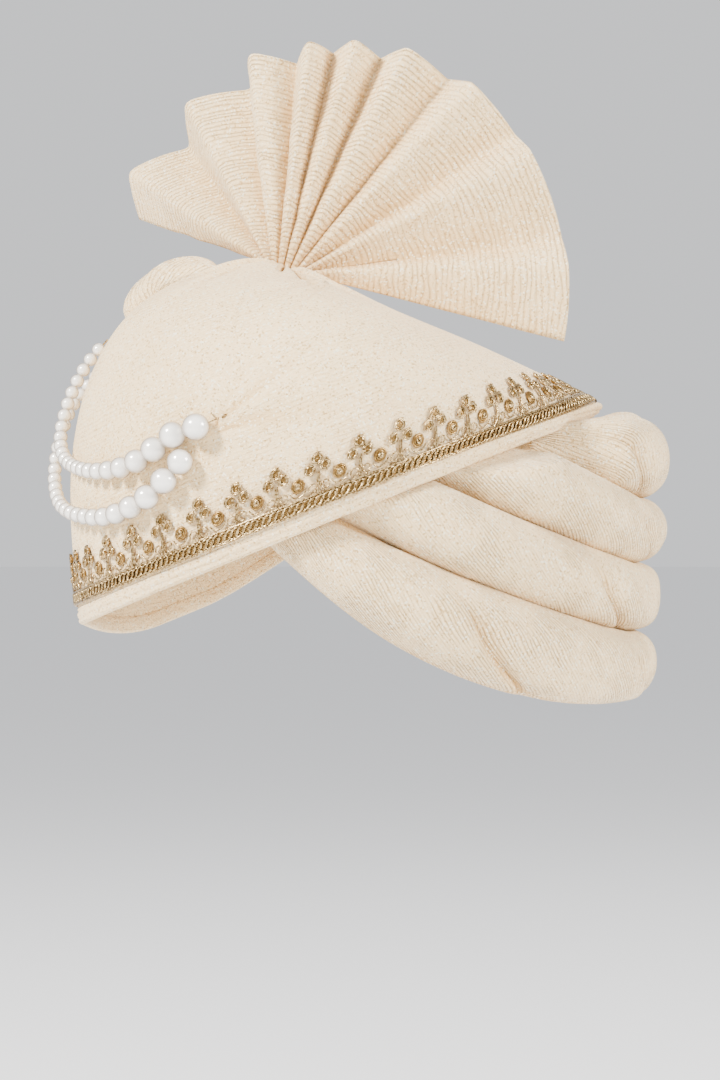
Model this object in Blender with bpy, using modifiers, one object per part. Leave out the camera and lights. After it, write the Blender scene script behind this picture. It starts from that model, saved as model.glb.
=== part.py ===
"""A tied turban pagri, ready to wear: a smooth front wrap that rises diagonally to the left back, padded
twisted rolls below it, a padded side roll above it on the right, a pleated fan on top, a gold lace trim
along the edge of the wrap, and two swagged strings of graduated pearls.

Units are metres. The wearer faces -Y, the wearer's left is +X, and +Z is up. The origin is the middle of
the head opening, level with the brow.
"""

from math import atan2, cos, exp, log, pi, radians, sin, sqrt

import bmesh
import bpy
from mathutils import Vector

# Plan of the whole turban: an oval round the head.
HALF_WIDTH = 0.118
HALF_LENGTH = 0.143
RISE_AZIMUTH = radians(48)
GAP = 0.0003

# Front wrap: a thin shell between a tilted hem and a top that slopes the other way.
WRAP_WALL = 0.0025
HEM_LOW_Z = -0.008
HEM_SLOPE = 0.385
TIP_SHARE = 0.79
TOP_Z = 0.133
TOP_SLOPE = -0.36
TOP_FLAT = -0.030
TOP_SOFT = 0.015
DOME_POWER = 3.2
FOOT_X = -0.004
FOOT_Y = -0.046
HEM_DRAW = 0.045
WRAP_AROUND = 56
WRAP_UP = 12
RIDGE_HEIGHT = 0.004
RIDGE_ANGLE = radians(-12)

# Rolls: edges between them, as heights at the back and how much each edge climbs to the temple.
ROLL_DEPTH = 0.031
ROLL_STACK_HEIGHT = 0.125
ROLL_BASE_Z = -0.043
ROLL_CLIMB_HEIGHT = 0.070
ROLL_ROUND = 12
ROLL_STEPS = 26
ROLL_TUCK = 0.008
ROLL_TIP_ANGLE = radians(132)
END_HEIGHT_SHARE = 0.55
END_DEPTH_SHARE = 0.6
TOP_ROLL_LEAST = 0.015
TOP_ROLL_SWELL = 0.0006
TUCK_SHARE = 0.06
TUCK_CLEAR = 0.0042
TUCK_DROP = 0.012
TUCK_SWELL = 0.045
TUCK_FADE = 0.016
ROLL_EDGES = [
    {"level": 0.00, "climb": 1.00, "bend": 2.0},
    {"level": 0.25, "climb": 0.90, "bend": 1.2},
    {"level": 0.49, "climb": 0.97, "bend": 1.1},
    {"level": 0.72, "climb": 1.08, "bend": 1.0},
    {"level": 1.00, "climb": 1.14, "bend": 1.0},
]
ROLL_REACH = {"roll_1": 1.020, "roll_2": 1.008, "roll_3": 0.994, "roll_4": 0.975}
FOLD_DEPTH = 0.12
FOLD_TURNS = 3.4
FOLD_SHIFT = 0.37
FOLD_SPREAD = 0.3

# Side roll on the wearer's right, laid on the wrap: its lower and upper edge at each angle.
SIDE_THICK = 0.013
SIDE_GAP = 0.0009
SIDE_EDGE_THICK = 0.0015
SIDE_OFF_LACE = 0.003
SIDE_AROUND = 18
SIDE_ACROSS = 6
SIDE_EDGES = [
    {"angle": -34, "low": 0.74, "high": 0.92, "thick": 0.25},
    {"angle": -50, "low": 0.58, "high": 0.90, "thick": 1.00},
    {"angle": -80, "low": 0.38, "high": 0.82, "thick": 1.00},
    {"angle": -110, "low": 0.26, "high": 0.76, "thick": 1.00},
    {"angle": -132, "low": 0.30, "high": 0.76, "thick": 0.90},
    {"angle": -150, "low": 0.40, "high": 0.72, "thick": 0.40},
]

# Fan: spokes from its foot, each a ridge to the front or a valley to the back.
FAN_RADIUS = 0.115
FAN_WALL = 0.0022
FAN_FOOT = 0.0081
FAN_PLEAT = 0.008
FAN_LIFT = 0.004
FAN_LEFT_AZIMUTH = RISE_AZIMUTH
FAN_RIGHT_AZIMUTH = radians(0)
FAN_RINGS = 4
FAN_SPOKES = [
    {"angle": 164, "reach": 0.97, "depth": -0.5},
    {"angle": 153, "reach": 0.98, "depth": 1.0},
    {"angle": 141, "reach": 0.84, "depth": -1.0},
    {"angle": 127, "reach": 0.86, "depth": 1.0},
    {"angle": 111, "reach": 0.77, "depth": -1.0},
    {"angle": 98, "reach": 0.84, "depth": 1.0},
    {"angle": 88, "reach": 0.79, "depth": -1.0},
    {"angle": 83, "reach": 0.87, "depth": 1.0},
    {"angle": 78, "reach": 0.85, "depth": -1.0},
    {"angle": 73, "reach": 0.91, "depth": 1.0},
    {"angle": 66, "reach": 0.89, "depth": -1.0},
    {"angle": 61, "reach": 0.96, "depth": 1.0},
    {"angle": 50, "reach": 0.96, "depth": -1.0},
    {"angle": 45, "reach": 1.00, "depth": 1.0},
    {"angle": 31, "reach": 1.02, "depth": -1.0},
    {"angle": 26, "reach": 1.03, "depth": 1.0},
    {"angle": 7, "reach": 1.06, "depth": -1.0},
    {"angle": 1, "reach": 1.07, "depth": 0.8},
    {"angle": -14, "reach": 1.09, "depth": -0.3},
]
GATHER_WIDTH = 0.0150
GATHER_DEPTH = 0.0140
GATHER_HEIGHT = 0.004
GATHER_GAP = 0.0004
GATHER_TOP = 0.85
GATHER_ROUND = 12

# Lace: a band above the hem whose upper edge rises at each motif.
LACE_THICK = 0.0009
LACE_START = 0.007
LACE_HEIGHT = 0.023
LACE_SCALLOP = 0.35
LACE_PITCH = 0.017
LACE_STEPS = 3
LACE_LEVELS = 3
LACE_GAP = 0.0013

# Pearls: the large shared pearl, the small ones at the far end, and the thread.
PEARL_LARGE = 0.0115
PEARL_SMALL = 0.0060
PEARL_THREAD = 0.0012
PEARL_CLEAR = 0.0006
PEARL_SPREAD = 0.5
PEARL_RINGS = (-0.72, 0.0, 0.72)
# The routes that the strings take over the wrap: angle round the head in degrees, height in metres and
# how far the string hangs off the cloth.
UPPER_ROUTE = [(21.5, 0.0735, 0.0), (16.0, 0.0700, 0.0), (9.0, 0.0615, 0.0), (1.0, 0.0572, 0.0),
               (-10.0, 0.0572, 0.0), (-23.0, 0.0620, 0.001), (-31.0, 0.0720, 0.003),
               (-36.0, 0.0870, 0.003), (-40.0, 0.1020, 0.002), (-44.0, 0.1150, 0.0)]
LOWER_ROUTE = [(20.0, 0.0635, 0.0), (12.0, 0.0480, 0.0), (5.0, 0.0411, 0.0), (-2.0, 0.0380, 0.0),
               (-9.0, 0.0380, 0.0005), (-18.0, 0.0405, 0.002), (-26.0, 0.0460, 0.003),
               (-33.0, 0.0570, 0.004), (-38.0, 0.0710, 0.004), (-43.0, 0.0860, 0.003),
               (-50.0, 0.1020, 0.0)]


def smooth(value):
    """0 below 0, 1 above 1, and an even S between."""
    value = max(0.0, min(1.0, value))
    return value * value * (3.0 - 2.0 * value)


def blend(a, b, share):
    return a + (b - a) * share


def outline(angle):
    """The oval outline at an angle from the front, positive towards the wearer's left."""
    return Vector((HALF_WIDTH * sin(angle), -HALF_LENGTH * cos(angle)))


def along(place):
    """How far a place lies towards the left back, where the hem is highest."""
    return place[0] * cos(RISE_AZIMUTH) + place[1] * sin(RISE_AZIMUTH)


REACH = sqrt((HALF_WIDTH * cos(RISE_AZIMUTH)) ** 2 + (HALF_LENGTH * sin(RISE_AZIMUTH)) ** 2)


def hem_base(angle):
    """The hem's place in plan, drawn in towards the left back where it lies on the top roll."""
    edge = outline(angle)
    inward = smooth((along(edge) / REACH + 0.2) / 1.2)
    return edge * (1.0 - (1.0 - TIP_SHARE) * inward)


def hem_z(place):
    return HEM_LOW_Z + HEM_SLOPE * (along(place) + REACH)


def top_z(place):
    """The height of the wrap's top, which slopes down to the left back and is level at the front."""
    beyond = TOP_SOFT * log(1.0 + exp((along(place) - TOP_FLAT) / TOP_SOFT))
    return TOP_Z + TOP_SLOPE * (TOP_FLAT + beyond)


def wrap_point(angle, rise):
    """A point on the wrap's outside, with rise 0 at the hem and 1 at the foot of the fan."""
    base = hem_base(angle)
    turn = rise * pi / 2.0
    inset = cos(turn) ** (2.0 / DOME_POWER) if rise < 1.0 else 0.0
    lift = sin(turn) ** (2.0 / DOME_POWER)
    foot = Vector((FOOT_X, FOOT_Y))
    drawn_in = base * (1.0 - HEM_DRAW * max(0.0, 1.0 - lift * 1.6) ** 2)
    place = drawn_in * inset + foot * (1.0 - inset)
    low = hem_z(base)
    ridge = RIDGE_HEIGHT * exp(-((angle - RIDGE_ANGLE) / 0.30) ** 2) * smooth(lift * 4.0 - 2.9)
    return Vector((place.x, place.y, low + (top_z(place) - low) * lift + ridge * (1.0 - rise)))


def wrap_normal(angle, rise):
    step = 0.004
    rise = min(max(rise, step), 1.0 - 2.0 * step)
    sideways = wrap_point(angle + step, rise) - wrap_point(angle - step, rise)
    upward = wrap_point(angle, rise + step) - wrap_point(angle, rise - step)
    return sideways.cross(upward).normalized()


def rise_at_distance(angle, distance):
    """The rise at which a tape laid up the wrap from the hem has run the distance."""
    steps = 60
    run = 0.0
    last = wrap_point(angle, 0.0)
    for i in range(1, steps + 1):
        here = wrap_point(angle, 0.5 * i / steps)
        leg = (here - last).length
        if run + leg >= distance:
            return 0.5 * (i - 1 + (distance - run) / leg) / steps
        run += leg
        last = here
    return 0.5


def rise_at_height(angle, z):
    """The rise at which the wrap's outside reaches the height z."""
    low, high = 0.0, 0.8
    for _ in range(30):
        middle = (low + high) / 2.0
        if wrap_point(angle, middle).z < z:
            low = middle
        else:
            high = middle
    return low


def new_material(name, colour, roughness, metallic):
    material = bpy.data.materials.new(name)
    material.use_nodes = True
    shader = material.node_tree.nodes["Principled BSDF"]
    shader.inputs["Base Color"].default_value = (*colour, 1.0)
    shader.inputs["Roughness"].default_value = roughness
    shader.inputs["Metallic"].default_value = metallic
    return material


def crepe():
    return new_material("crepe", (0.80, 0.70, 0.54), 0.75, 0.0)


def gold_lace():
    return new_material("gold_lace", (0.55, 0.42, 0.22), 0.40, 0.8)


def pearl():
    return new_material("pearl", (0.90, 0.88, 0.84), 0.18, 0.0)


def add_object(name, mesh, material, collection):
    mesh.materials.append(material)
    thing = bpy.data.objects.new(name, mesh)
    collection.objects.link(thing)
    return thing


def grid_faces(rows, columns, around):
    """Quads between neighbouring rows of a grid, whose columns close on themselves if around is true."""
    faces = []
    for row in range(rows - 1):
        for column in range(columns if around else columns - 1):
            nxt = (column + 1) % columns
            faces.append((row * columns + column, row * columns + nxt,
                          (row + 1) * columns + nxt, (row + 1) * columns + column))
    return faces


def loft(name, sections, material, collection):
    """A closed body through sections of equal length, with a flat cap at each end."""
    size = len(sections[0])
    points = [point for section in sections for point in section]
    faces = grid_faces(len(sections), size, True)
    faces.append(tuple(reversed(range(size))))
    faces.append(tuple(range(len(points) - size, len(points))))
    mesh = bpy.data.meshes.new(name)
    mesh.from_pydata(points, [], faces)
    work = bmesh.new()
    work.from_mesh(mesh)
    bmesh.ops.recalc_face_normals(work, faces=work.faces)
    work.to_mesh(mesh)
    work.free()
    mesh.shade_smooth()
    return add_object(name, mesh, material, collection)


def sheet(name, points, faces, wall, offset, material, collection):
    """An open surface thickened to a wall."""
    mesh = bpy.data.meshes.new(name)
    mesh.from_pydata(points, [], faces)
    mesh.shade_smooth()
    thing = add_object(name, mesh, material, collection)
    solidify = thing.modifiers.new("wall", "SOLIDIFY")
    solidify.thickness = wall
    solidify.offset = offset
    return thing


def crown_wrap(material, collection):
    points = []
    for i in range(WRAP_UP):
        for j in range(WRAP_AROUND):
            points.append(wrap_point(2.0 * pi * j / WRAP_AROUND, i / WRAP_UP))
    faces = grid_faces(WRAP_UP, WRAP_AROUND, True)
    points.append(wrap_point(0.0, 1.0))
    last_ring = (WRAP_UP - 1) * WRAP_AROUND
    for j in range(WRAP_AROUND):
        faces.append((last_ring + j, last_ring + (j + 1) % WRAP_AROUND, len(points) - 1))
    return sheet("crown_wrap", points, faces, WRAP_WALL, -1.0, material, collection)


def edge_z(edge, place):
    """The height of one edge between rolls above a place of the outline."""
    run = max(0.0, REACH * 0.95 - along(place)) / (REACH * 1.33)
    return ROLL_BASE_Z + ROLL_STACK_HEIGHT * edge["level"] + ROLL_CLIMB_HEIGHT * edge["climb"] * run ** edge["bend"]


def roof_z(angle):
    """The highest that a roll may reach under the wrap."""
    base = hem_base(angle)
    low = hem_z(base)
    return low + 0.55 * max(0.0, top_z(base) - low) - WRAP_WALL


def wrap_angle(away):
    """The angle at which the wrap rises to its top in the plan direction away from the fan's foot."""
    wanted = atan2(away.x, -away.y)
    low, high = -pi, pi
    for _ in range(24):
        middle = (low + high) / 2.0
        base = hem_base(middle)
        if atan2(base.x - FOOT_X, FOOT_Y - base.y) < wanted:
            low = middle
        else:
            high = middle
    return low


def kept_inside(place, z):
    """The place in plan, drawn in where needed: inside the wrap above the hem, and free well below it."""
    foot = Vector((FOOT_X, FOOT_Y))
    away = place - foot
    base = hem_base(wrap_angle(away))
    low = hem_z(base)
    room = max(0.001, top_z(place) - low)
    lift = max(0.0, min(0.97, (z + WRAP_WALL + TUCK_CLEAR - low) / room))
    inset = (1.0 - lift ** DOME_POWER) ** (1.0 / DOME_POWER)
    drawn_in = base * (1.0 - HEM_DRAW * max(0.0, 1.0 - lift * 1.6) ** 2)
    reach = (drawn_in - foot).length * inset - WRAP_WALL - TUCK_CLEAR
    reach += TUCK_SWELL * smooth((low - TUCK_DROP - z) / TUCK_FADE)
    return foot + away * min(1.0, reach / away.length)


def roll_end(edge, side, tuck):
    """The angle at which a roll's lower edge has passed under the hem, on the left (1) or right (-1)."""
    middle = ROLL_TIP_ANGLE
    for i in range(1, 400):
        angle = middle - side * radians(0.4) * i
        place = outline(angle)
        if edge_z(edge, place) > hem_z(hem_base(angle)) + tuck:
            return angle
    return middle - side * radians(160)


def padded_roll(name, number, material, collection):
    """One roll between two edges, thick at the back and drawn in where it passes under the wrap."""
    lower, upper = ROLL_EDGES[4 - number], ROLL_EDGES[5 - number]
    top_roll = number == 1
    tuck = -TOP_ROLL_LEAST if top_roll else ROLL_TUCK
    start, end = roll_end(lower, 1, tuck), roll_end(lower, -1, tuck)
    sections = []
    for i in range(ROLL_STEPS + 1):
        share = i / ROLL_STEPS
        angle = blend(start, end, share)
        near_end = min(share, 1.0 - share)
        tucked = hem_base(angle).length / outline(angle).length - TUCK_SHARE
        place = outline(angle) * blend(tucked, ROLL_REACH[name], smooth(near_end * 4.5))
        inward = -Vector((place.x / HALF_WIDTH ** 2, place.y / HALF_LENGTH ** 2)).normalized()
        low = edge_z(lower, outline(angle)) + GAP / 2.0
        roof = hem_z(hem_base(angle)) + TOP_ROLL_SWELL if top_roll else roof_z(angle)
        high = min(edge_z(upper, outline(angle)), roof) - GAP / 2.0
        taper = blend(END_HEIGHT_SHARE, 1.0, smooth(near_end * 7.0))
        half = (high - low) / 2.0 * taper
        depth = ROLL_DEPTH / 2.0 * blend(END_DEPTH_SHARE, 1.0, smooth(near_end * 5.0))
        middle_z = (low + high) / 2.0
        section = []
        for j in range(ROLL_ROUND):
            turn = 2.0 * pi * j / ROLL_ROUND
            fold = pi * (share * FOLD_TURNS + number * FOLD_SHIFT)
            dent = 1.0 - FOLD_DEPTH * exp(-(sin(turn - fold) / FOLD_SPREAD) ** 2) * max(0.0, cos(turn))
            z = middle_z + half * sin(turn)
            spot = place + inward * (ROLL_DEPTH / 2.0 - depth * cos(turn) * dent)
            if not top_roll:
                spot = kept_inside(spot, z)
            section.append(Vector((spot.x, spot.y, z)))
        sections.append(section)
    return loft(name, sections, material, collection)


def side_row(angle):
    """The side roll's edges and thickness at an angle, read between the rows of the table."""
    for first, second in zip(SIDE_EDGES, SIDE_EDGES[1:]):
        if first["angle"] >= angle >= second["angle"]:
            share = smooth((first["angle"] - angle) / (first["angle"] - second["angle"]))
            return {key: blend(first[key], second[key], share) for key in first}
    return SIDE_EDGES[-1]


def side_roll(material, collection):
    """A padded band laid on the right of the wrap, flat underneath and round outside."""
    sections = []
    first, last = SIDE_EDGES[0]["angle"], SIDE_EDGES[-1]["angle"]
    for i in range(SIDE_AROUND + 1):
        row = side_row(blend(first, last, i / SIDE_AROUND))
        angle = radians(row["angle"])
        above_lace = rise_at_distance(angle, LACE_START + LACE_HEIGHT + SIDE_OFF_LACE)
        row["low"] = max(row["low"], above_lace)
        section = []
        for j in range(SIDE_ACROSS + 1):
            rise = blend(row["low"], row["high"], j / SIDE_ACROSS)
            crest = sqrt(max(0.0, 1.0 - (2.0 * j / SIDE_ACROSS - 1.0) ** 2))
            height = SIDE_GAP + SIDE_EDGE_THICK + SIDE_THICK * row["thick"] * crest
            section.append(wrap_point(angle, rise) + wrap_normal(angle, rise) * height)
        for j in range(SIDE_ACROSS, -1, -1):
            rise = blend(row["low"], row["high"], j / SIDE_ACROSS)
            section.append(wrap_point(angle, rise) + wrap_normal(angle, rise) * SIDE_GAP)
        sections.append(section)
    return loft("side_roll", sections, material, collection)


def fan_foot():
    """The middle of the fan's foot, above the top of the gathered cloth."""
    top = wrap_point(0.0, 1.0)
    return Vector((top.x, top.y, top.z + FAN_LIFT))


def fan_axes(angle):
    """The level direction that a spoke leans in, and the way its ridges face."""
    lean = smooth(cos(angle) * 1.5 + 0.5)
    azimuth = blend(FAN_RIGHT_AZIMUTH, FAN_LEFT_AZIMUTH, lean)
    return Vector((cos(azimuth), sin(azimuth), 0.0)), Vector((sin(azimuth), -cos(azimuth), 0.0))


def fan_point(angle, reach, depth, ring):
    level, facing = fan_axes(angle)
    radius = blend(FAN_FOOT, FAN_RADIUS * reach, ring)
    pleat = FAN_PLEAT * depth * blend(0.22, 1.0, ring)
    spoke = level * (radius * cos(angle)) + Vector((0.0, 0.0, radius * sin(angle)))
    return fan_foot() + spoke + facing * pleat


def turra_fan(material, collection):
    points = []
    for spoke in FAN_SPOKES:
        for i in range(FAN_RINGS + 1):
            points.append(fan_point(radians(spoke["angle"]), spoke["reach"], spoke["depth"], i / FAN_RINGS))
    faces = grid_faces(len(FAN_SPOKES), FAN_RINGS + 1, False)
    return sheet("turra_fan", points, faces, FAN_WALL, 0.0, material, collection)


def fan_gather(material, collection):
    """The pinched cloth that the fan stands in: a low oval knot on top of the wrap."""
    level, facing = fan_axes(pi / 2.0)
    top = wrap_point(0.0, 1.0)
    sections = []
    for share in (0.0, 0.25, 0.5, 0.75, 1.0):
        size = blend(1.0, GATHER_TOP, share ** 2)
        section = []
        for j in range(GATHER_ROUND):
            turn = 2.0 * pi * j / GATHER_ROUND
            place = level * (GATHER_WIDTH / 2.0 * size * cos(turn))
            place += facing * (-GATHER_DEPTH / 2.0 * size * sin(turn))
            low = top_z((top.x + place.x, top.y + place.y)) + GATHER_GAP
            high = fan_foot().z + GATHER_HEIGHT
            section.append(Vector((top.x + place.x, top.y + place.y, blend(low, high, share))))
        sections.append(section)
    return loft("fan_gather", sections, material, collection)


def lace_trim(material, collection):
    """A thin band round the wrap above the hem, with a scallop for each motif."""
    girth = pi * (HALF_WIDTH + HALF_LENGTH)
    motifs = int(girth / LACE_PITCH)
    columns = motifs * LACE_STEPS
    points = []
    gap_angle = ROLL_TIP_ANGLE
    spare = radians(7)
    for i in range(columns + 1):
        angle = blend(gap_angle - 2.0 * pi + spare, gap_angle - spare, i / columns)
        wave = 0.5 - 0.5 * cos(2.0 * pi * i / LACE_STEPS)
        height = LACE_HEIGHT * (1.0 - LACE_SCALLOP * (1.0 - wave))
        for level in range(LACE_LEVELS + 1):
            rise = rise_at_distance(angle, LACE_START + height * level / LACE_LEVELS)
            points.append(wrap_point(angle, rise) + wrap_normal(angle, rise) * LACE_GAP)
    faces = grid_faces(columns + 1, LACE_LEVELS + 1, False)
    faces = [tuple(reversed(face)) for face in faces]
    return sheet("lace_trim", points, faces, LACE_THICK, 1.0, material, collection)


def route_point(row, size):
    """A point of a string's route, with the pearl's own radius clear of the cloth."""
    angle, z, off = radians(row[0]), row[1], row[2]
    rise = rise_at_height(angle, z)
    return wrap_point(angle, rise) + wrap_normal(angle, rise) * (size / 2.0 + PEARL_CLEAR + off)


def curve_through(points, share):
    """A Catmull-Rom curve through the points, read at a share of its length in spans."""
    spans = len(points) - 1
    place = min(share * spans, spans - 1e-9)
    index = int(place)
    t = place - index
    p1, p2 = points[index], points[index + 1]
    p0 = points[index - 1] if index else p1 * 2.0 - p2
    p3 = points[index + 2] if index + 2 <= spans else p2 * 2.0 - p1
    return 0.5 * (2.0 * p1 + (p2 - p0) * t + (2.0 * p0 - 5.0 * p1 + 4.0 * p2 - p3) * t ** 2
                  + (3.0 * p1 - p0 - 3.0 * p2 + p3) * t ** 3)


def pearl_size(share):
    return blend(PEARL_LARGE, PEARL_SMALL, smooth(share / PEARL_SPREAD) * 0.9 + share * 0.1)


def pearl_string(name, route, first_size, material, collection):
    """Pearls fused on a thread: one curve whose radius swells at each pearl."""
    count = len(route) - 1
    anchors = [route_point(row, pearl_size(i / count)) for i, row in enumerate(route)]
    fine = [curve_through(anchors, i / 600) for i in range(601)]
    runs = [0.0]
    for a, b in zip(fine, fine[1:]):
        runs.append(runs[-1] + (b - a).length)
    length = runs[-1]

    def at(run):
        run = max(0.0, min(length, run))
        low, high = 0, 600
        while high - low > 1:
            middle = (low + high) // 2
            if runs[middle] <= run:
                low = middle
            else:
                high = middle
        return fine[low].lerp(fine[high], (run - runs[low]) / max(1e-9, runs[high] - runs[low]))

    profile = []
    run = 0.0
    size = first_size
    profile.append((0.0, PEARL_THREAD / 2.0))
    while run + size < length:
        middle = run + size / 2.0
        for part in PEARL_RINGS:
            swell = sqrt(1.0 - part * part)
            profile.append((middle + part * size / 2.0, size / 2.0 * swell))
        run += size
        profile.append((run, max(PEARL_THREAD / 2.0, size * 0.18)))
        size = pearl_size(run / length)
    curve = bpy.data.curves.new(name, "CURVE")
    curve.dimensions = "3D"
    curve.bevel_depth = 1.0
    curve.bevel_resolution = 3
    curve.use_fill_caps = True
    spline = curve.splines.new("POLY")
    spline.points.add(len(profile) - 1)
    for point, (run, radius) in zip(spline.points, profile):
        point.co = (*at(run), 1.0)
        point.radius = radius
    curve.materials.append(material)
    thing = bpy.data.objects.new(name, curve)
    collection.objects.link(thing)
    return thing


def main():
    for thing in list(bpy.data.objects):
        bpy.data.objects.remove(thing, do_unlink=True)
    collection = bpy.data.collections.new("tied_turban_pagri")
    bpy.context.scene.collection.children.link(collection)
    crown_wrap(crepe(), collection)
    for number in (1, 2, 3, 4):
        padded_roll(f"roll_{number}", number, crepe(), collection)
    side_roll(crepe(), collection)
    turra_fan(crepe(), collection)
    fan_gather(crepe(), collection)
    lace_trim(gold_lace(), collection)
    pearl_string("pearl_strand_upper", UPPER_ROUTE, PEARL_LARGE, pearl(), collection)
    pearl_string("pearl_strand_lower", LOWER_ROUTE, PEARL_LARGE * 0.95, pearl(), collection)


main()
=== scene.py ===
"""Looks of the tied turban pagri: crinkled crepe over the wrap, rolls and fan, gold lace, and pearls."""

import bmesh
import bpy
import numpy as np
from math import cos, pi, radians, sin, sqrt
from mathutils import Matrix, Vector


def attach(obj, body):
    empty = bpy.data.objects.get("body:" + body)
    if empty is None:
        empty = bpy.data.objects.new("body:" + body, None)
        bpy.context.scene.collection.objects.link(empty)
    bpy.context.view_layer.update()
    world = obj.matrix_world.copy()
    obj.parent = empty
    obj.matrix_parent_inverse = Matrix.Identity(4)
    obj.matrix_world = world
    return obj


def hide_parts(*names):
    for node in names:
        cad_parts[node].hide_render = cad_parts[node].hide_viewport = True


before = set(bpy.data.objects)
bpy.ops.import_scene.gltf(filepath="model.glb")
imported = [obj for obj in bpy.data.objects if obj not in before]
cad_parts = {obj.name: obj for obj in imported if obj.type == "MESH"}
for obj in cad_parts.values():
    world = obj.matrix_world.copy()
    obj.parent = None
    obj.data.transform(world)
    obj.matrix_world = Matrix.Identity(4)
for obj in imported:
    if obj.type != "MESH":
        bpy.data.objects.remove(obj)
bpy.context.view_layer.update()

# Plan and heights of the turban, in metres, as in the part.
HALF_WIDTH, HALF_LENGTH = 0.118, 0.143
RISE_AZIMUTH = radians(48)
WRAP_WALL = 0.0025
HEM_LOW_Z, HEM_SLOPE, HEM_DRAW = -0.008, 0.385, 0.045
HEM_DIP, PEAK_RISE = 0.014, 0.0055
TIP_SHARE = 0.79
TOP_Z, TOP_SLOPE, TOP_FLAT, TOP_SOFT = 0.133, -0.36, -0.030, 0.015
DOME_POWER = 3.2
FOOT = np.array((-0.004, -0.046))
RIDGE_HEIGHT, RIDGE_ANGLE = 0.004, radians(-12)
# Where the wrap is pinched beside the fan's foot: along the rise, and towards the camera.
PINCH_PLACE = (0.020, 0.012)
# Where the pearls' near end pulls the wrap: degrees round from the front, and height.
KNOT_AT, KNOT_Z = 23.0, 0.0735
FOOT_FOLD, DRAPE = 0.0030, 0.0016
HEM_THICK, HEM_TALL = 0.0021, 0.0040

ROLL_DEPTH = 0.031
ROLL_STACK, ROLL_BASE_Z, ROLL_CLIMB = 0.125, -0.043, 0.070
ROLL_TUCK, TOP_ROLL_LEAST, TOP_ROLL_OUT, TUCK_SHARE = 0.008, 0.015, 0.45, 0.06
MEAN_RADIUS = 0.128
ROLL_TIP_ANGLE = radians(132)
UNDER_WRAP_SHARE = 0.55
ROLL_GIRTH = 0.11
TUCK_CLEAR, TUCK_DROP, TUCK_SWELL, TUCK_FADE = 0.0020, 0.0010, 0.045, 0.010
# A row for each edge between rolls: share of the stack, climb and bend.
ROLL_EDGES = [(0.00, 1.00, 2.0), (0.25, 0.90, 1.2), (0.49, 0.97, 1.1), (0.72, 1.08, 1.0), (1.00, 1.14, 1.0)]
ROLL_REACH = {1: 1.020, 2: 1.008, 3: 0.994, 4: 0.975}
# Twist folds of each roll: angle round the head at the roll's middle, in degrees, and depth in metres.
ROLL_FOLDS = {
    1: [(113, 0.0030), (152, 0.0026), (178, 0.0026)],
    2: [(119, 0.0030), (158, 0.0026), (196, 0.0024)],
    3: [(104, 0.0028), (144, 0.0026), (180, 0.0026), (215, 0.0022)],
    4: [(74, 0.0034), (122, 0.0028), (160, 0.0026), (200, 0.0026), (236, 0.0020)],
}
FOLD_LEAN = 9.0
RIB_PITCH = 0.0024

SIDE_THICK, SIDE_GAP, SIDE_OFF_LACE, SIDE_RADIUS = 0.013, 0.0009, 0.003, 0.115
# Folds of the side roll: angle, in degrees, and depth.
SIDE_FOLDS = [(-48, 0.0022), (-64, 0.0030), (-92, 0.0026), (-118, 0.0024)]
# A row for each angle of the side roll: angle, lower edge, upper edge, thickness share.
SIDE_EDGES = [(-34, 0.74, 0.92, 0.25), (-50, 0.58, 0.90, 1.00), (-80, 0.38, 0.82, 1.00),
              (-110, 0.26, 0.76, 1.00), (-132, 0.30, 0.76, 0.90), (-150, 0.40, 0.72, 0.40)]

FAN_RADIUS, FAN_WALL, FAN_PLEAT, FAN_LIFT = 0.115, 0.0013, 0.008, 0.004
# A row for each spoke of the fan: angle, reach and depth, ridges to the front.
FAN_SPOKES = [
    (164, 0.97, -0.5), (153, 0.98, 1.0), (141, 0.84, -1.0), (127, 0.86, 1.0), (111, 0.77, -1.0),
    (98, 0.84, 1.0), (88, 0.79, -1.0), (83, 0.87, 1.0), (78, 0.85, -1.0), (73, 0.91, 1.0),
    (66, 0.89, -1.0), (61, 0.96, 1.0), (50, 0.96, -1.0), (45, 1.00, 1.0), (31, 1.02, -1.0),
    (26, 1.03, 1.0), (7, 1.06, -1.0), (1, 1.07, 0.8), (-14, 1.09, -0.3)]

LACE_START, LACE_HEIGHT, LACE_PITCH = 0.007, 0.023, 0.0172
LACE_OFF = 0.0008
WIRE = 0.00038

PEARL_LARGE, PEARL_SMALL, PEARL_SPREAD, PEARL_CLEAR = 0.0115, 0.0060, 0.5, 0.0006
UPPER_ROUTE = [(21.5, 0.0735, 0.0), (16.0, 0.0700, 0.0), (9.0, 0.0615, 0.0), (1.0, 0.0572, 0.0),
               (-10.0, 0.0572, 0.0), (-23.0, 0.0620, 0.001), (-31.0, 0.0720, 0.003),
               (-36.0, 0.0870, 0.003), (-40.0, 0.1020, 0.002), (-44.0, 0.1150, 0.0)]
LOWER_ROUTE = [(20.0, 0.0635, 0.0), (12.0, 0.0480, 0.0), (5.0, 0.0411, 0.0), (-2.0, 0.0380, 0.0),
               (-9.0, 0.0380, 0.0005), (-18.0, 0.0405, 0.002), (-26.0, 0.0460, 0.003),
               (-33.0, 0.0570, 0.004), (-38.0, 0.0710, 0.004), (-43.0, 0.0860, 0.003),
               (-50.0, 0.1020, 0.0)]

# The camera: level, this far from the turban's axis, a little above the brow.
CAMERA_DISTANCE, CAMERA_Z, CAMERA_SIDE, LENS = 1.5, 0.028, -0.0044, 112.5
FLOOR_Z = -0.30

RANDOM = np.random.default_rng(7)
LATTICE = RANDOM.random((256, 256))


# Small helpers

def smooth(value):
    value = np.clip(value, 0.0, 1.0)
    return value * value * (3.0 - 2.0 * value)


def blend(a, b, share):
    return a + (b - a) * share


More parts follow.
